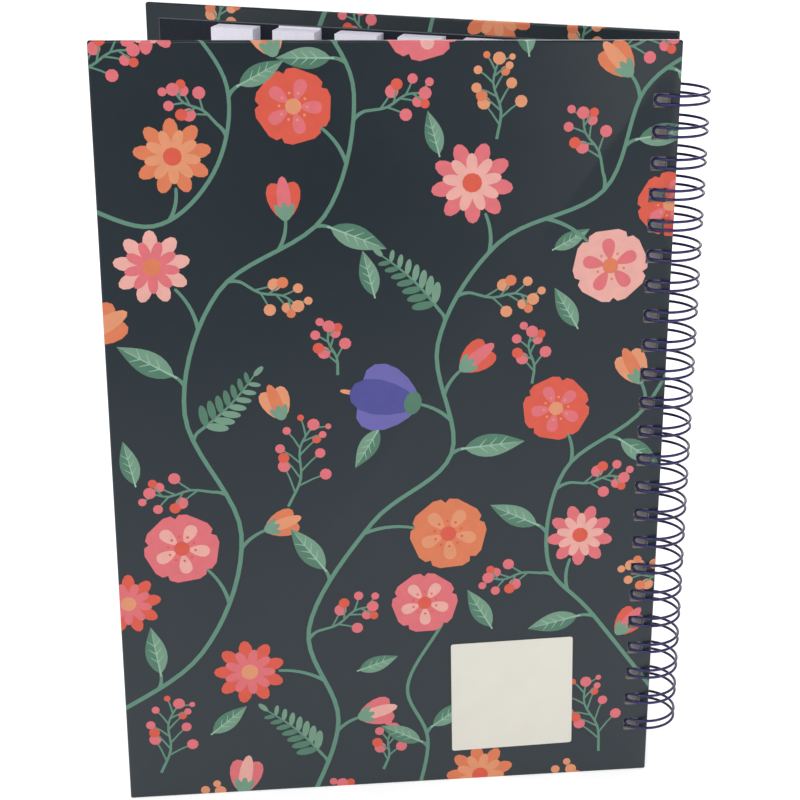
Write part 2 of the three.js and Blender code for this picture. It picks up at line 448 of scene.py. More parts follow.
def ruled_paper(name, rgb, rule, pitch, hinge):
    """Writing paper: smooth uncoated sheet with thin printed rules, left bare along its four edges."""
    rule_width, lowest, highest, nearest, farthest = (each * MM for each in (0.3, 14, 196, 16, 142))

    def shade(tree, shader):
        parts = place_parts(tree)
        across = maths(tree, "SUBTRACT", parts["X"], hinge.x)
        squares = [maths(tree, "MULTIPLY", each, each) for each in (across, parts["Y"])]
        reach = maths(tree, "SQRT", maths(tree, "ADD", *squares))
        mask = maths(tree, "LESS_THAN", maths(tree, "MODULO", parts["Z"], pitch), rule_width)
        for each in (
            maths(tree, "GREATER_THAN", parts["Z"], lowest),
            maths(tree, "LESS_THAN", parts["Z"], highest),
            maths(tree, "GREATER_THAN", reach, nearest),
            maths(tree, "LESS_THAN", reach, farthest),
            flatness(tree),
        ):
            mask = maths(tree, "MULTIPLY", mask, each)
        paper = tinted(tree, rgb, grains(tree, 0.4, 5), 0.97, 1.03)
        mixed = node(tree, "Mix", {"Factor": mask, "A": paper, "B": (*rule, 1)}, data_type="RGBA")
        inked = mixed.outputs["Result"]
        set_inputs(tree, shader, Base_Color=inked, Roughness=0.82, IOR=1.5, Specular_IOR_Level=0.3)
        bumps(tree, shader, grains(tree, 0.4, 4), 0.015, 0.5)

    return finish(name, shade)


def wire_enamel(name, rgb):
    """Enamelled steel wire: a dark violet stoving enamel, glossy and slightly uneven."""

    def shade(tree, shader):
        runs = grains(tree, 2.5, 3)
        set_inputs(
            tree,
            shader,
            Base_Color=tinted(tree, rgb, runs, 0.85, 1.2),
            Roughness=spread(tree, runs, 0.24, 0.38),
            IOR=1.52,
            Specular_IOR_Level=0.35,
            Coat_Weight=0.25,
            Coat_Roughness=0.18,
        )
        bumps(tree, shader, grains(tree, 0.8, 2), 0.01, 0.5)

    return finish(name, shade)


def cut_board(name, rgb):
    """Punched grey board: layered, torn fibres in the cut, dull and pale against the print."""

    def shade(tree, shader):
        layers = grains(tree, 0.35, 4, (1, 3, 1))
        set_inputs(tree, shader, Base_Color=tinted(tree, rgb, layers, 0.75, 1.15), Roughness=0.9)
        bumps(tree, shader, layers, 0.05, 0.8)

    return finish(name, shade)


def label_paper(name, rgb):
    """Semi-gloss label paper: coated and smooth, with a faint clay mottle."""

    def shade(tree, shader):
        clay = grains(tree, 3, 4)
        set_inputs(
            tree,
            shader,
            Base_Color=tinted(tree, rgb, clay, 0.985, 1.015),
            Roughness=spread(tree, clay, 0.42, 0.5),
            IOR=1.5,
        )
        bumps(tree, shader, grains(tree, 0.6, 3), 0.008, 0.5)

    return finish(name, shade)


# Floral print. Points are complex numbers in millimetres, from the cover's fore edge and foot


def smooth_line(knots, steps=9):
    """A smooth line through the knots."""
    ends = [2 * knots[0] - knots[1], *knots, 2 * knots[-1] - knots[-2]]
    line = []
    for a, b, c, d in zip(ends, ends[1:], ends[2:], ends[3:]):
        for k in range(steps):
            t = k / steps
            bend = (2 * a - 5 * b + 4 * c - d) * t**2 + (3 * b - a - 3 * c + d) * t**3
            line.append(0.5 * (2 * b + (c - a) * t + bend))
    return line + [knots[-1]]


def heading(line, i):
    step = line[min(i + 1, len(line) - 1)] - line[max(i - 1, 0)]
    return step / abs(step)


def ribbon(line, root, tip):
    """The outline of a stroke along a line, from one width to another."""
    left, right = [], []
    for i, point in enumerate(line):
        half = (root + (tip - root) * i / (len(line) - 1)) / 2
        side = heading(line, i) * 1j * half
        left.append(point + side)
        right.append(point - side)
    end = line[-1] + heading(line, len(line) - 1) * tip / 2
    return left + [end] + right[::-1]


def petal(base, axis, long, wide, notch=0.0, swell=0.45, steps=14):
    outline = []
    for k in range(steps):
        turn = 2 * math.pi * k / steps
        out = (1 - math.cos(turn)) / 2
        reach = long * out - notch * math.exp(-(((turn - math.pi) / 0.55) ** 2))
        across = wide / 2 * math.sin(turn) * (1 - swell + 2 * swell * out)
        outline.append(base + axis * complex(reach, across))
    return outline


def disc(centre, radius, steps=12):
    return [centre + radius * cmath.exp(2j * math.pi * k / steps) for k in range(steps)]


def spoke(k, count, start=0.0):
    return cmath.exp(2j * math.pi * (k + start) / count)


def blossom(size, outer, inner, heart):
    """An open bloom of five notched petals."""
    centre = 1j * size * 0.42
    art = []
    for k in range(5):
        art.append((outer, petal(centre, spoke(k, 5, 0.25), size * 0.5, size * 0.46, size * 0.05)))
    for k in range(5):
        way = spoke(k, 5, 0.25)
        art.append((inner, petal(centre + way * size * 0.08, way, size * 0.27, size * 0.15)))
    art.append((heart, disc(centre, size * 0.1)))
    for k in range(10):
        art.append((heart, disc(centre + spoke(k, 10, 0.5) * size * 0.17, size * 0.018, 6)))
    return art


def daisy(size, outer, inner, heart):
    """An open bloom of two rings of narrow petals."""
    centre = 1j * size * 0.42
    art = [(outer, petal(centre, spoke(k, 9, 0.2), size * 0.5, size * 0.19, 0, 0.3)) for k in range(9)]
    art += [(inner, petal(centre, spoke(k, 9, 0.7), size * 0.36, size * 0.13, 0, 0.3)) for k in range(9)]
    art.append((heart, disc(centre, size * 0.12)))
    return art


def bell(size, outer, inner, heart):
    """A bell of three lobes with a green cap."""
    art = [(heart, petal(1j * size * 0.78, 1j, size * 0.3, size * 0.06))]
    for lean, ink, long in ((-0.42, inner, 0.86), (0.42, inner, 0.86), (0, outer, 0.95)):
        art.append((ink, petal(0j, 1j * cmath.exp(1j * lean), size * long, size * 0.5, 0, 0.25)))
    art.append(("leaf_dark", petal(-0.05j * size, 1j, size * 0.24, size * 0.34, 0, 0)))
    return art


def bud(size, outer, inner, heart):
    art = []
    for lean in (-0.3, 0.3):
        art.append((outer, petal(0j, 1j * cmath.exp(1j * lean), size * 0.85, size * 0.42, 0, 0.1)))
    art.append((inner, petal(0j, 1j, size * 0.95, size * 0.3, 0, 0)))
    for lean in (-0.5, 0, 0.5):
        way = 1j * cmath.exp(1j * lean)
        art.append(("leaf", petal(-0.04j * size, way, size * 0.42, size * 0.16, 0, 0)))
    return art


def leaf(size, *_):
    """A pointed leaf in two greens, with its veins."""
    art = []
    for side, ink in ((1, "leaf"), (-1, "leaf_dark")):
        bow = [math.sin(math.pi * (t / 9) ** 0.8) for t in range(10)]
        art.append((ink, [complex(side * size * 0.2 * b, size * t / 9) for t, b in enumerate(bow)]))
    midrib = [complex(0, size * t) for t in (-0.05, 0.4, 0.86)]
    art.append(("vein", ribbon(midrib, size * 0.035, size * 0.01)))
    for side in (1, -1):
        for t in (0.25, 0.42, 0.59):
            rib = [complex(0, size * t), complex(side * size * 0.12, size * (t + 0.13))]
            art.append(("vein", ribbon(rib, size * 0.022, size * 0.008)))
    return art


def fern(size, *_):
    """A frond of paired leaflets."""
    line = [complex(0.05 * size * math.sin(3 * t / 8), size * t / 8) for t in range(9)]
    art = [("stem", ribbon(line, 0.9, 0.4))]
    for t in range(1, 8):
        reach = size * 0.3 * (1 - 0.55 * t / 8)
        for side, ink in ((1, "leaf"), (-1, "leaf_dark")):
            way = 1j * cmath.exp(-1j * side * 0.95)
            art.append((ink, petal(line[t], way, reach, reach * 0.38, 0, 0)))
    art.append(("leaf", petal(line[8], 1j, size * 0.16, size * 0.07, 0, 0)))
    return art


def spray(size, ink, other, _):
    """A branched twig with a round dot at each tip."""
    knots = [0j, complex(0.06, 0.35) * size, complex(-0.03, 0.7) * size, complex(0.05, 1) * size]
    line = smooth_line(knots, 3 if size < 19 else 4)
    art = [("stem", ribbon(line, 0.8, 0.5))]
    for n, i in enumerate(range(2, len(line) - 1)):
        side = 1 if n % 2 else -1
        way = heading(line, i) * cmath.exp(-1j * side * 0.8)
        tip = line[i] + way * size * (0.34 - 0.015 * n)
        art.append(("stem", ribbon([line[i], (line[i] + tip) / 2 + 1j * size * 0.012, tip], 0.55, 0.4)))
        art.append((other if n % 3 == 2 else ink, disc(tip, 1.75 - 0.1 * n, 10)))
    art.append((ink, disc(line[-1], 1.7, 10)))
    return art


MOTIFS = {
    "blossom": blossom, "daisy": daisy, "bell": bell, "bud": bud, "leaf": leaf, "fern": fern, "spray": spray,
}
INK_SETS = {
    "r": ("rose", "blush", "coral"),
    "c": ("coral", "rose", "apricot"),
    "o": ("orange", "apricot", "coral"),
    "b": ("blush", "rose", "orange"),
    "v": ("violet", "lilac", "apricot"),
    "g": ("leaf", "leaf_dark", "vein"),
    "p": ("rose", "coral", "stem"),
    "a": ("apricot", "orange", "stem"),
}
INKS = (
    "stem", "leaf", "leaf_dark", "vein", "coral", "rose", "blush", "orange", "apricot", "violet", "lilac",
)

# Each vine: its knots, its width at root and tip, and its branches as "share side motif stalk size inks"
VINES = (
    (
        ((-9, 24), (22, 46), (34, 82), (20, 118), (30, 152), (58, 172), (66, 204), (56, 226)), 1.3, 1.0,
        "0.08 1 leaf 5 15 g;0.2 1 blossom 13 22 r;0.27 -1 bud 9 11 o;0.34 1 spray 4 17 p;"
        "0.4 -1 fern 3 22 g;0.46 1 leaf 4 17 g;0.53 1 daisy 13 20 b;0.58 -1 spray 4 16 a;"
        "0.65 1 bud 9 12 c;0.7 -1 leaf 4 16 g;0.77 1 blossom 12 21 c;0.83 -1 spray 4 16 p;"
        "0.9 1 leaf 4 14 g;0.94 -1 leaf 4 13 g",
    ),
    (
        (
            (50, -9), (60, 22), (52, 52), (70, 84), (92, 104), (88, 136), (104, 164), (132, 178), (142, 205),
            (160, 218),
        ), 1.3, 1.0,
        "0.06 1 fern 3 22 g;0.1 -1 bud 8 12 r;0.16 1 daisy 14 20 c;0.21 -1 spray 4 17 p;"
        "0.27 1 leaf 4 16 g;0.32 -1 blossom 15 23 o;0.48 1 bell 11 20 v;0.44 -1 leaf 4 17 g;"
        "0.51 -1 bud 9 12 c;0.58 1 fern 3 22 g;0.61 -1 spray 4 17 a;0.66 1 daisy 11 22 r;"
        "0.72 -1 blossom 14 22 b;0.78 1 spray 5 17 p;0.83 -1 leaf 4 15 g;0.88 1 bud 7 12 o;"
        "0.93 -1 leaf 3 13 g",
    ),
    (
        ((162, 14), (134, 52), (120, 70), (124, 98), (146, 116), (160, 146)), 1.2, 1.0,
        "0.2 1 leaf 5 15 g;0.28 -1 daisy 10 19 r;0.36 1 spray 4 15 p;0.47 1 leaf 4 15 g;"
        "0.55 -1 spray 5 15 p;0.62 1 blossom 9 20 c;0.72 -1 leaf 4 14 g;0.8 1 bud 8 12 a",
    ),
    (
        ((-9, 178), (14, 170), (30, 184), (34, 206), (22, 226)), 1.2, 0.9,
        "0.3 1 daisy 9 20 o;0.62 1 spray 4 14 p;0.72 -1 leaf 4 13 g",
    ),
    (
        ((82, -9), (86, 14), (80, 32), (90, 52)), 1.1, 0.9,
        "0.3 1 leaf 3 13 g;0.38 -1 leaf 3 13 g;1.0 1 blossom 0 20 r",
    ),
)

# Sprigs that stand by themselves between the vines, as "x y turn motif size inks"
SPRIGS = (
    "47 90 -14 spray 25 p;61 128 12 spray 14 p;103 192 2 spray 21 a;114 124 4 spray 15 p;"
    "137 7 14 spray 24 p;9 8 -12 spray 23 p;66 38 -70 leaf 12 g;104 50 30 leaf 14 g;6 98 12 leaf 13 g;"
    "71 150 14 leaf 13 g;80 214 -20 blossom 22 r;157 170 60 blossom 19 c;103 -7 10 daisy 20 o;"
    "32 0 -10 bud 13 r;141 46 -40 bud 11 c;72 112 150 leaf 13 g;-6 140 -60 bud 15 o;-5 61 -80 daisy 18 c;"
    "88 188 15 leaf 12 g;46 116 20 bud 11 a;24 20 -50 leaf 13 g;126 140 30 leaf 13 g;"
    "-6 210 -70 spray 18 p;132 216 -80 spray 17 p;46 214 20 bud 12 a;111 214 10 leaf 13 g;"
    "12 216 -20 daisy 18 r;157 60 62 spray 15 a;73 5 -10 spray 14 p;18 -11 -30 spray 14 a;"
    "66 -12 24 spray 14 p;122 -12 -24 spray 15 a;119 162 -60 leaf 11 g"
)


def branch(line, share, side, motif, stalk, size, inks):
    """A stalk that leaves a vine and ends in a motif."""
    i = round(share * (len(line) - 1))
    root, way = line[i], heading(line, i)
    out = way * cmath.exp(1j * side * 0.55)
    aim = way * cmath.exp(1j * side * 1.15)
    tip = root + (out + aim) * stalk * 0.5
    art = []
    if stalk:
        bow = root + out * stalk * 0.5
        shares = [k / 7 for k in range(8)]
        curve = [(1 - t) ** 2 * root + 2 * t * (1 - t) * bow + t * t * tip for t in shares]
        art.append(("stem", ribbon(curve, 1.1, 0.8)))
    for ink, outline in MOTIFS[motif](size, *inks):
        art.append((ink, [tip + point * aim / 1j for point in outline]))
    return art


def floral_design(flipped=False):
    """Every printed shape, the lowest first, as pairs of ink and outline."""
    art = []
    for item in SPRIGS.split(";"):
        x, y, turn, motif, size, inks = item.split()
        root, aim = complex(float(x), float(y)), cmath.exp(1j * math.radians(float(turn)))
        for ink, outline in MOTIFS[motif](float(size), *INK_SETS[inks]):
            art.append((ink, [root + point * aim for point in outline]))
    for knots, root, tip, branches in VINES:
        line = smooth_line([complex(*knot) for knot in knots])
        art.append(("stem", ribbon(line, root, tip)))
        for item in branches.split(";"):
            share, side, motif, stalk, size, inks = item.split()
            art += branch(line, float(share), int(side), motif, float(stalk), float(size), INK_SETS[inks])
    if flipped:
        art = [(ink, [complex(p.real, COVER_HEIGHT - p.imag) for p in outline]) for ink, outline in art]
    return art


def rectangle(left, bottom, right, top):
    return [complex(left, bottom), complex(right, bottom), complex(right, top), complex(left, top)]


def anticlockwise(outline):
    following = outline[1:] + outline[:1]
    area = sum(a.real * b.imag - b.real * a.imag for a, b in zip(outline, following))
    return outline if area > 0 else outline[::-1]


def wrap_folds(bend, thick):
    """How far beyond the flat of a face each fold of the wrap lies: round the outer edge, over the board's
    thickness and round the inner edge."""
    quarter, straight = math.pi / 2 * bend, thick - 2 * bend
    folds = [quarter * k / FOLD_STEPS for k in range(FOLD_STEPS + 1)]
    return folds + [quarter + straight + each for each in folds]


def wrapped(at, size, bend, thick, lift):
    """Where a place on the flat paper comes to lie: how far along the face, and how deep behind it."""
    t = min(at, size - at)
    folds = wrap_folds(bend, thick)
    outer, inner, over = folds[FOLD_STEPS], folds[FOLD_STEPS + 1], folds[-1]
    beyond, reach = bend - t, bend + lift
    if beyond <= 0:
        along, depth = t, -lift
    elif beyond <= outer:
        turn = beyond / bend
        along, depth = bend - reach * math.sin(turn), bend - reach * math.cos(turn)
    elif beyond <= inner:
        along, depth = -lift, bend + beyond - outer
    elif beyond <= over:
        turn = (beyond - inner) / bend
        along, depth = bend - reach * math.cos(turn), thick - bend + reach * math.sin(turn)
    else:
        along, depth = bend + beyond - over, thick + lift
    return (along if t == at else size - along), depth


def printed_wrap(name, art, gaps, side, wide, high, thick, bend, turn_in, lift):
    """Prints the design on the paper that wraps a board, fused into one layer whose faces carry the topmost
    ink. It goes round the edges to the turn-ins, mitred at the fore corners. side says which cover it is."""
    folds = wrap_folds(bend, thick)
    over, most = folds[-1], folds[-1] + turn_in - bend
    paper = [
        complex(bend, bend), complex(bend, bend - over), complex(turn_in, bend - most),
        complex(wide - bend, bend - most), complex(wide - bend, bend), complex(wide - bend + over, bend),
    ]
    upper = [p.conjugate() + 1j * high for p in reversed(paper)]
    fore = [
        complex(bend - over, high - bend), complex(bend - most, high - turn_in),
        complex(bend - most, turn_in), complex(bend - over, bend),
    ]
    points, faces, creases = [], [], []
    for outline in [paper + upper + fore] + [anticlockwise(each) for each in [o for _, o in art] + gaps]:
        faces.append(list(range(len(points), len(points) + len(outline))))
        points += [Vector((p.real, p.imag)) for p in outline]
    for fold in folds:
        edge = bend - fold
        for left, low, right, top in (
            (edge, bend, edge, high - bend),
            (bend, edge, wide - bend, edge),
            (wide - edge, bend, wide - edge, high - bend),
            (bend, high - edge, wide - bend, high - edge),
        ):
            creases.append((len(points), len(points) + 1))
            points += [Vector((left, low)), Vector((right, top))]
    made_points, _, made_faces, _, _, sources = delaunay_2d_cdt(points, creases, faces, 1, 1e-4)
    kept, inks = [], []
    for face, source in zip(made_faces, sources):
        shown = [s - 1 for s in source if 0 < s <= len(art)]
        if 0 in source and shown and max(source) <= len(art):
            kept.append(face if side < 0 else face[::-1])
            inks.append(INKS.index(art[max(shown)][0]))
    used = sorted({i for face in kept for i in face})
    number = {old: new for new, old in enumerate(used)}
    places = []
    for i in used:
        across, sunk = wrapped(made_points[i].x, wide, bend, thick, lift)
        along, deep = wrapped(made_points[i].y, high, bend, thick, lift)
        out = side * (OUTER_FACE - max(sunk, deep))
        places.append(Vector((across - SPINE_SETBACK - wide, out, along)) * MM)
    mesh = bpy.data.meshes.new(name)
    mesh.from_pydata(places, [], [[number[i] for i in face] for face in kept])
    mesh.update()
    made = bpy.data.objects.new(name, mesh)
    bpy.context.scene.collection.objects.link(made)
    for _ in INKS:
        mesh.materials.append(None)
    mesh.polygons.foreach_set("material_index", inks)
    return made


class NOTEBOOK_OT_stage(bpy.types.Operator):
    """Adds the floor, the soft studio lamps, the world and the camera"""

    bl_idname = "notebook.stage"
    bl_label = "Stage"

    def execute(self, context):
        deselect()
        bpy.ops.mesh.primitive_plane_add(size=7)
        floor = context.object
        floor.name = "floor"

        def sweep(tree, shader):
            # Seamless white paper: the camera sees it lifted to white, with the shadow left in it. In
            # reflections it fades to the dark room in front of the book
            path = node(tree, "LightPath").outputs
            seen = maths(tree, "MAXIMUM", path["Is Camera Ray"], path["Is Glossy Ray"])
            near = ranged(tree, place_parts(tree)["Y"], 0.0, 1.0, -0.9, -0.05)
            lit = ranged(tree, path["Is Glossy Ray"], 1.0, near)
            paper = tinted(tree, linear("#f2f2f2"), grains(tree, 6, 2), 0.99, 1.01)
            set_inputs(
                tree,
                shader,
                Base_Color=node(tree, "HueSaturation", {"Color": paper, "Value": lit}).outputs["Color"],
                Roughness=0.9,
                Emission_Color=(1, 1, 1, 1),
                Emission_Strength=maths(tree, "MULTIPLY", maths(tree, "MULTIPLY", seen, PAPER_GLOW), lit),
            )

        floor.data.materials.append(finish("seamless_paper", sweep))

        world = bpy.data.worlds.new("studio")
        context.scene.world = world
        world.use_nodes = True
        tree = world.node_tree
        path = node(tree, "LightPath").outputs
        back = tree.nodes["Background"]
        back.inputs["Color"].default_value = (1, 1, 1, 1)
        unseen = ranged(tree, path["Is Glossy Ray"], ROOM_LIGHT, ROOM_IN_REFLECTIONS)
        tree.links.new(ranged(tree, path["Is Camera Ray"], unseen, 1.0), back.inputs["Strength"])

        for name, spot, aim, size, power in LAMPS:
            deselect()
            bpy.ops.object.light_add(type="AREA", location=spot)
            lamp = context.object
            lamp.name = name
            lamp.data.size = size
            lamp.data.energy = power
            lamp.rotation_euler = (Vector((0, 0, aim)) - Vector(spot)).to_track_quat("-Z", "Y").to_euler()

        pitch, roll, turn = (math.radians(each) for each in (CAMERA_PITCH, CAMERA_ROLL, CAMERA_TURN))
        ahead = Matrix.Rotation(turn, 3, "Z") @ Vector((0, math.cos(pitch), -math.sin(pitch)))
        level = Matrix.Rotation(turn, 3, "Z") @ Vector((1, 0, 0))
        above = level.cross(ahead)
        right = level * math.cos(roll) + above * math.sin(roll)
        up = above * math.cos(roll) - level * math.sin(roll)
        deselect()
        bpy.ops.object.camera_add()
        camera = context.object
        camera.name = "photo_view"
        turned = Matrix((right, up, -ahead)).transposed().to_4x4()
        camera.matrix_world = Matrix.Translation(Vector(CAMERA_PLACE) * MM) @ turned
        camera.data.sensor_width = 36
        camera.data.lens = CAMERA_LENS
        camera.data.shift_x, camera.data.shift_y = CAMERA_SHIFT
        camera.data.clip_start = 0.01
        context.scene.camera = camera
        context.scene.view_settings.view_transform = "Standard"
        return {"FINISHED"}


def hole_heights(sizes):
    first = (sizes.cover_height - (sizes.loop_count - 1) * sizes.loop_pitch) / 2
    return [(first + i * sizes.loop_pitch) / MM for i in range(sizes.loop_count)]


def punch(obj, sizes, fore, spine):
    """Takes a column of punched holes from a cover, a lining or a leaf."""
    middle = hole_heights(sizes)[0]
    half = sizes.hole_height / MM / 2
    cutter = block("punches", (fore, -PUNCH_REACH, middle - half), (spine, PUNCH_REACH, middle + half))
    choose_edges(cutter, 1)
    chosen(bpy.ops.mesh.bevel, offset=sizes.hole_corner, segments=3, affect="EDGES")
    modify(
        cutter,
        "ARRAY",
        count=sizes.loop_count,
        use_relative_offset=False,
        use_constant_offset=True,
        constant_offset_displace=(0, 0, sizes.loop_pitch),
    )
    modify(obj, "BOOLEAN", object=cutter, operation="DIFFERENCE", solver="EXACT")
    remove(cutter)


class NOTEBOOK_OT_covers(bpy.types.Operator):
    """Models the two punched boards in their printed wrap"""

    bl_idname = "notebook.covers"
    bl_label = "Covers"

    def execute(self, context):
        sizes, colours = settings(context)
        wrap = film_print("matt_film_print_slate", colours.ground)
        cut = cut_board("punched_grey_board", colours.board)
        for side, name, degrees in COVERS:
            near, far = sorted((side * INNER_FACE, side * OUTER_FACE))
            wide, high = sizes.cover_width / MM, sizes.cover_height / MM
            board = block(name + "_board", (-SPINE_SETBACK - wide, near, 0), (-SPINE_SETBACK, far, high))
            modify(board, "BEVEL", width=sizes.cover_round, segments=4, limit_method="NONE")
            punch(board, sizes, HOLE_FORE, HOLE_SPINE)
            smooth_shade(board)
            place(board, degrees, name, (wrap, cut), "cover_print", name + "_cover")
            turned = Matrix.Rotation(math.radians(-degrees), 4, "Z") @ Matrix.Translation(-HINGE)
            margin = 5
            for face in board.data.polygons:
                at = turned @ face.center / MM
                inside = HOLE_FORE - 0.1 < at.x < HOLE_SPINE + 0.1 and margin < at.z < high - margin
                across = abs((turned.to_3x3() @ face.normal).y) < 0.5
                face.material_index = int(inside and across)
        return {"FINISHED"}


class NOTEBOOK_OT_print(bpy.types.Operator):
    """Prints the flowers on the paper that wraps the covers"""

    bl_idname = "notebook.floral_print"
    bl_label = "Floral Print"

    def execute(self, context):
        sizes, colours = settings(context)
        wide, high, thick = sizes.cover_width / MM, sizes.cover_height / MM, sizes.cover_thickness / MM
        ease = 0.1
        half = sizes.hole_height / MM / 2 + ease
        left = SPINE_SETBACK + wide
        holes = [
            rectangle(left + HOLE_FORE - ease, z - half, left + HOLE_SPINE + ease, z + half)
            for z in hole_heights(sizes)
        ]
        inks = [film_print("matt_film_print_" + ink, getattr(colours, ink)) for ink in INKS]
        bend, turn_in, lift = sizes.cover_round / MM, sizes.turn_in / MM - ease, sizes.ink_lift / MM
        for side, name, degrees in COVERS:
            art = floral_design(side > 0)
            made = printed_wrap(name + "_flowers", art, holes, side, wide, high, thick, bend, turn_in, lift)
            modify(made, "SOLIDIFY", thickness=sizes.ink_lift * 1.5, offset=-1)
            place(made, degrees, name, inks, "cover_print")
        return {"FINISHED"}


class NOTEBOOK_OT_linings(bpy.types.Operator):
    """Pastes a punched sheet of plain paper inside each cover"""

    bl_idname = "notebook.linings"
    bl_label = "Linings"

    def execute(self, context):
        sizes, colours = settings(context)
        wide, high, inset = sizes.cover_width / MM, sizes.cover_height / MM, sizes.turn_in / MM
        # The sheet thins over its bevel towards its cut edges, which show as a pale line
        thick, thin, bevel = LINING_BACK - LINING_FACE, 0.05, 0.22
        fore = -SPINE_SETBACK - wide + inset
        endpaper = dict(fibre=0.5, contrast=0.12, rough=0.8, sheen=0.35, tooth=0.6, stretch=(1, 1, 1))
        paper = plain_paper("dark_endpaper", colours.lining, **endpaper)
        cut = plain_paper("cut_edge_of_endpaper", colours.endpaper_edge, **endpaper)
        for side, name, degrees in COVERS:
            near, far = sorted((side * (LINING_BACK - thin), side * LINING_BACK))
            sheet = block(name + "_endpaper", (fore, near, inset), (-SPINE_SETBACK, far, high - inset))
            edit(sheet)
            for face in sheet.data.polygons:
                face.select = face.normal.y * side < -0.5
            chosen(bpy.ops.mesh.inset, thickness=bevel * MM)
            chosen(bpy.ops.transform.translate, value=(0, -side * (thick - thin) * MM, 0))
            punch(sheet, sizes, HOLE_FORE, HOLE_SPINE)
            edges = [int(abs(face.normal.y) < 0.99) for face in sheet.data.polygons]
            place(sheet, degrees, name, (paper, cut), "lining_paper", name + "_lining")
            sheet.data.polygons.foreach_set("material_index", edges)
        return {"FINISHED"}


class NOTEBOOK_OT_wire(bpy.types.Operator):
    """Bends the twin-loop wire as one unbroken round wire"""

    bl_idname = "notebook.wire"
    bl_label = "Twin-Loop Wire"

    def execute(self, context):
        sizes, colours = settings(context)
        radius, pitch = sizes.loop_radius / MM, sizes.loop_pitch / MM
        half, bend = sizes.twin_spacing / MM / 2, SEAM_BEND_RADIUS
        tip = 2 * math.pi * radius - TIP_TO_SEAM - half
        # One loop as pairs of the way round from the seam and the rise, first its lower wire, then the tip
        loop = [(0, -pitch / 2)]
        for s in range(BEND_STEPS + 1):
            turn = math.pi / 2 * s / BEND_STEPS
            loop.append((bend - bend * math.cos(turn), -half - bend + bend * math.sin(turn)))
        loop += [(bend + (tip - bend) * s / LOOP_STEPS, -half) for s in range(1, LOOP_STEPS + 1)]
        upper = [(along, -rise) for along, rise in reversed(loop[1:])]
        for s in range(1, TIP_STEPS):
            turn = math.pi * s / TIP_STEPS
            loop.append((tip + half * math.sin(turn), -half * math.cos(turn)))
        loop += upper
        route = []
        for i, middle in enumerate(hole_heights(sizes)):
            part = loop[1:] if i == 0 else loop
            route += [(along, middle + rise) for along, rise in part]
        deselect()
        bpy.ops.curve.primitive_nurbs_path_add()
        wire = context.object
        wire.name = "wire_loops"
        curve = wire.data
        curve.splines.clear()
        spline = curve.splines.new("POLY")
        spline.points.add(len(route) - 1)
        for point, (along, height) in zip(spline.points, route):
            angle = math.pi + math.asin(SEAM_DEPTH / radius) - along / radius
            point.co = (radius * math.cos(angle) * MM, radius * math.sin(angle) * MM, height * MM, 1)
        curve.dimensions = "3D"
        curve.twist_mode = "MINIMUM"
        curve.bevel_depth = sizes.wire_diameter / 2
        curve.bevel_resolution = 3
        curve.use_fill_caps = True
        activate(wire)
        bpy.ops.object.convert(target="MESH")
        wire = context.object
        smooth_shade(wire, 60)
        enamel = wire_enamel("violet_wire_enamel", colours.wire)
        place(wire, BACK_TURN, "back", (enamel,), "wire_enamel", "wire_binding")
        return {"FINISHED"}


class NOTEBOOK_OT_leaves(bpy.types.Operator):
    """Stacks the punched and ruled leaves in their three bundles"""

    bl_idname = "notebook.leaves"
    bl_label = "Leaves"

    def execute(self, context):
        sizes, colours = settings(context)
        draws = random.Random(11)
        right = LEAF_OVERHANG - SPINE_SETBACK
        wide, high = sizes.leaf_width / MM, sizes.leaf_height / MM
        foot = (sizes.cover_height / MM - high) / 2
        step = sizes.bundle_thickness / MM / sizes.leaves_in_bundle
        paper = ruled_paper("ruled_writing_paper", colours.leaf_paper, colours.rule, sizes.rule_pitch, HINGE)
        for order, degrees in enumerate(BUNDLE_TURNS):
            low = FIRST_LEAF_FACE + order * BUNDLE_PITCH
            off_axis = max(abs(low), abs(low + BUNDLE_THICKNESS))
            spine_side = -math.sqrt(LEAF_HOLE_ARC**2 - off_axis**2) + LEAF_HOLE_EASE
            top_corner = (right, low + step * SHEET_SHARE, foot + high)
            leaf_sheet = block("leaf", (right - wide, low, foot), top_corner)
            punch(leaf_sheet, sizes, LEAF_HOLE_FORE, spine_side)
            sheets = []
            for n in range(sizes.leaves_in_bundle):
                sheet = copy_of(leaf_sheet, "leaf_%d" % n)
                drift = [draws.uniform(-LEAF_DRIFT, LEAF_DRIFT) for _ in range(2)]
                sheet.location = Vector((drift[0], n * step, drift[1])) * MM
                sheets.append(sheet)
            remove(leaf_sheet)
            stack = joined("leaf_stack_%d" % (order + 1), sheets)
            stack.data.transform(Matrix.Translation(stack.location))
            stack.location = (0, 0, 0)
            body, stands_for = "leaves_%d" % (order + 1), "leaf_bundle_%d" % (order + 1)
            place(stack, degrees, body, (paper,), "leaf_paper", stands_for)
        return {"FINISHED"}


def paper_stack(name, fore, top, wide, high, thick, sheets, draws, slipped=()):
    """A pad of sheets gummed along its top, whose lower ends stand a little apart. It lies on the front
    lining, and its slipped sheets stand a little above the rest."""
    step = thick / sheets
    slabs = []
    for n in range(sheets):
        far = PAD_SEAT - n * step
        head = top + (SLIPPED_RISE if n in slipped else 0)
        slab = block(
            "slab",
            (fore + draws.uniform(0, 0.12), far - step * 0.9, top - high + draws.uniform(0, 0.35)),
            (fore + wide - draws.uniform(0, 0.12), far, head - draws.uniform(0, 0.06)),
        )
        choose_edges(slab, 2)
        chosen(bpy.ops.mesh.subdivide, number_cuts=7)
        share = (n + 1) / sheets
        for vertex in slab.data.vertices:
            below = max(0, (top - PAD_GUM_HEIGHT - vertex.co.z / MM) / (high - PAD_GUM_HEIGHT))
            vertex.co.y -= PAD_FANNING * share * below**1.5 * MM
        slabs.append(slab)
    return joined(name, slabs)


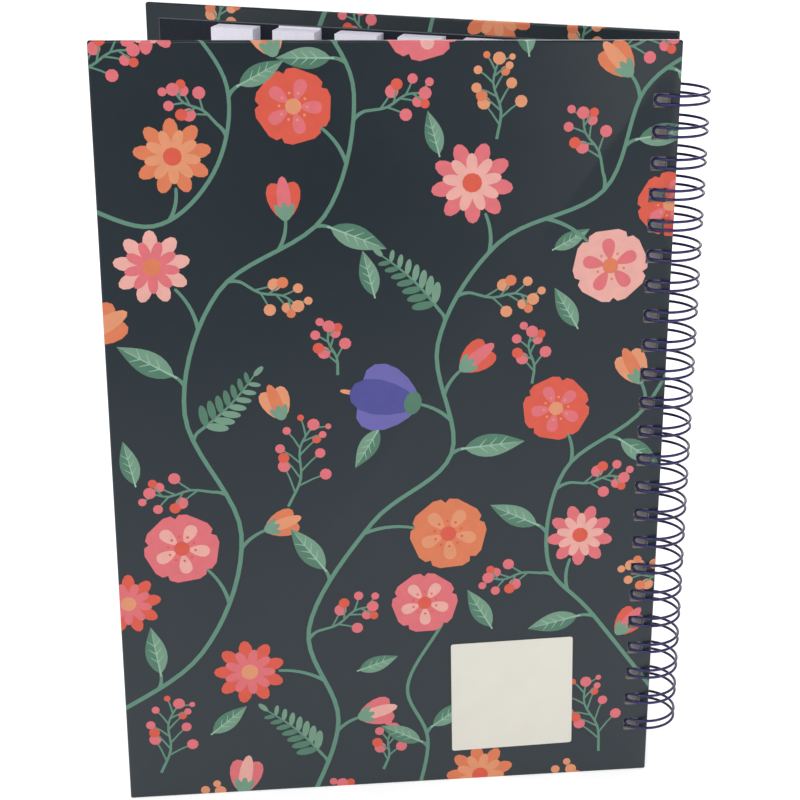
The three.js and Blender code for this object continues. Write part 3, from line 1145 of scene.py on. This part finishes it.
class NOTEBOOK_OT_pads(bpy.types.Operator):
    """Stacks the page flags and note pads on the front lining"""

    bl_idname = "notebook.pads"
    bl_label = "Sticky Pads"

    def execute(self, context):
        sizes, colours = settings(context)
        draws = random.Random(5)
        paper = plain_paper("pale_note_paper", colours.notes, fibre=0.35, contrast=0.03)
        flag, gap = sizes.flag_width / MM, sizes.flag_gap / MM
        high, thick = sizes.flag_height / MM, sizes.flag_thickness / MM
        left = -SPINE_SETBACK - sizes.cover_width / MM + PAD_FORE_MARGIN
        field = sizes.cover_width / MM - PAD_FORE_MARGIN - PAD_SPINE_MARGIN
        first = left + (field - FLAG_COUNT * flag - (FLAG_COUNT - 1) * gap) / 2
        top = sizes.cover_height / MM - PAD_TOP_MARGIN
        note = sizes.note_thickness / MM
        narrow = field - SQUARE_NOTE - PAD_SPACING
        middle = left + narrow + PAD_SPACING
        pair_top = top - high - PAD_SPACING
        wide_top = pair_top - SQUARE_NOTE - PAD_SPACING
        wide_high = wide_top - PAD_FOOT_MARGIN
        pads = [
            ("flag_stack_%d" % (i + 1), "flag_pad_%d" % (i + 1), first + i * (flag + gap), top, flag, high)
            for i in range(FLAG_COUNT)
        ]
        pads += [
            ("narrow_note_stack", "narrow_note_pad", left, pair_top, narrow, SQUARE_NOTE),
            ("square_note_stack", "square_note_pad", middle, pair_top, SQUARE_NOTE, SQUARE_NOTE),
            ("wide_note_stack", "wide_note_pad", left, wide_top, field, wide_high),
        ]
        for name, stands_for, fore, head, wide, tall in pads:
            deep, sheets = (thick, FLAG_SHEETS) if name.startswith("flag") else (note, NOTE_SHEETS)
            slipped = (1, 2, 3) if name == "flag_stack_2" else ()
            pad = paper_stack(name, fore, head, wide, tall, deep, sheets, draws, slipped)
            place(pad, FRONT_TURN, "front", (paper,), "note_paper", stands_for)
        return {"FINISHED"}


class NOTEBOOK_OT_label(bpy.types.Operator):
    """Sticks the blank label on the back cover"""

    bl_idname = "notebook.label"
    bl_label = "Blank Label"

    def execute(self, context):
        sizes, colours = settings(context)
        wide, high = sizes.label_size / MM, LABEL_HEIGHT
        front = -LABEL_SEAT - LABEL_THICKNESS
        label = block("label", (-wide / 2, front, -high / 2), (wide / 2, -LABEL_SEAT, high / 2))
        choose_edges(label, 1, LABEL_THICKNESS / 2)
        chosen(bpy.ops.mesh.bevel, offset=LABEL_CORNER * MM, segments=4, affect="EDGES")
        across = -SPINE_SETBACK - sizes.cover_width / MM + LABEL_FROM_FORE + wide / 2
        centre = Vector((across, 0, LABEL_FROM_FOOT + high / 2)) * MM
        tilt = Matrix.Rotation(math.radians(LABEL_TILT), 4, "Y")
        label.data.transform(Matrix.Translation(centre) @ tilt)
        paper = label_paper("semi_gloss_label_paper", colours.label)
        place(label, BACK_TURN, "back", (paper,), "sticker_paper", "blank_sticker")
        return {"FINISHED"}


class NOTEBOOK_PT_panel(bpy.types.Panel):
    """Lists the steps that build the book"""

    bl_idname = "NOTEBOOK_PT_panel"
    bl_label = "Sticky Note Book"
    bl_space_type = "VIEW_3D"
    bl_region_type = "UI"
    bl_category = "Note Book"

    def draw(self, context):
        for step in STEPS:
            self.layout.operator(step.bl_idname)


STEPS = (
    NOTEBOOK_OT_stage, NOTEBOOK_OT_covers, NOTEBOOK_OT_print, NOTEBOOK_OT_linings, NOTEBOOK_OT_wire,
    NOTEBOOK_OT_leaves, NOTEBOOK_OT_pads, NOTEBOOK_OT_label,
)
CLASSES = (NoteBookSizes, NoteBookColours, *STEPS, NOTEBOOK_PT_panel)


def register():
    for each in CLASSES:
        bpy.utils.register_class(each)
    bpy.types.Scene.note_book_sizes = PointerProperty(type=NoteBookSizes)
    bpy.types.Scene.note_book_colours = PointerProperty(type=NoteBookColours)


def unregister():
    del bpy.types.Scene.note_book_colours
    del bpy.types.Scene.note_book_sizes
    for each in reversed(CLASSES):
        bpy.utils.unregister_class(each)


def main():
    register()
    for step in STEPS:
        group, name = step.bl_idname.split(".")
        getattr(getattr(bpy.ops, group), name)()


if __name__ == "__main__":
    main()
